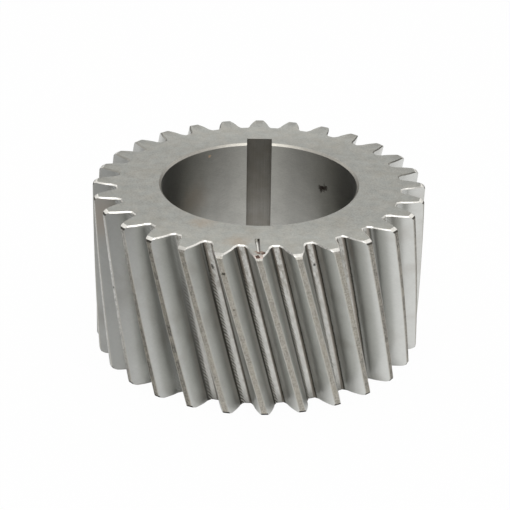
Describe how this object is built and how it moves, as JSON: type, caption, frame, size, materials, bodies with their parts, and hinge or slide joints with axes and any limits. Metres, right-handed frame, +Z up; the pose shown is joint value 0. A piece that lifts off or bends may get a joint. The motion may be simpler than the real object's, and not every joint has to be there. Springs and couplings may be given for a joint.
{
  "type": "crankshaft gear",
  "caption": "Wide left-hand helical gear cut from one steel ring, with a plain bore, a full-length keyway, bevelled tooth ends and a scribed timing mark.",
  "frame": {"origin": "centre of the bore at the lower end face", "axes": "+Z up along the bore axis; the marked tooth is at -Y on the upper face and the keyway is at +Y"},
  "size_m": [0.102, 0.102, 0.0526],
  "materials": {
    "ground_steel": "ground flanks and faces, turned tips, honed bore"
  },
  "bodies": {
    "root": {"crankshaft_gear": "ground_steel"}
  },
  "joints": []
}
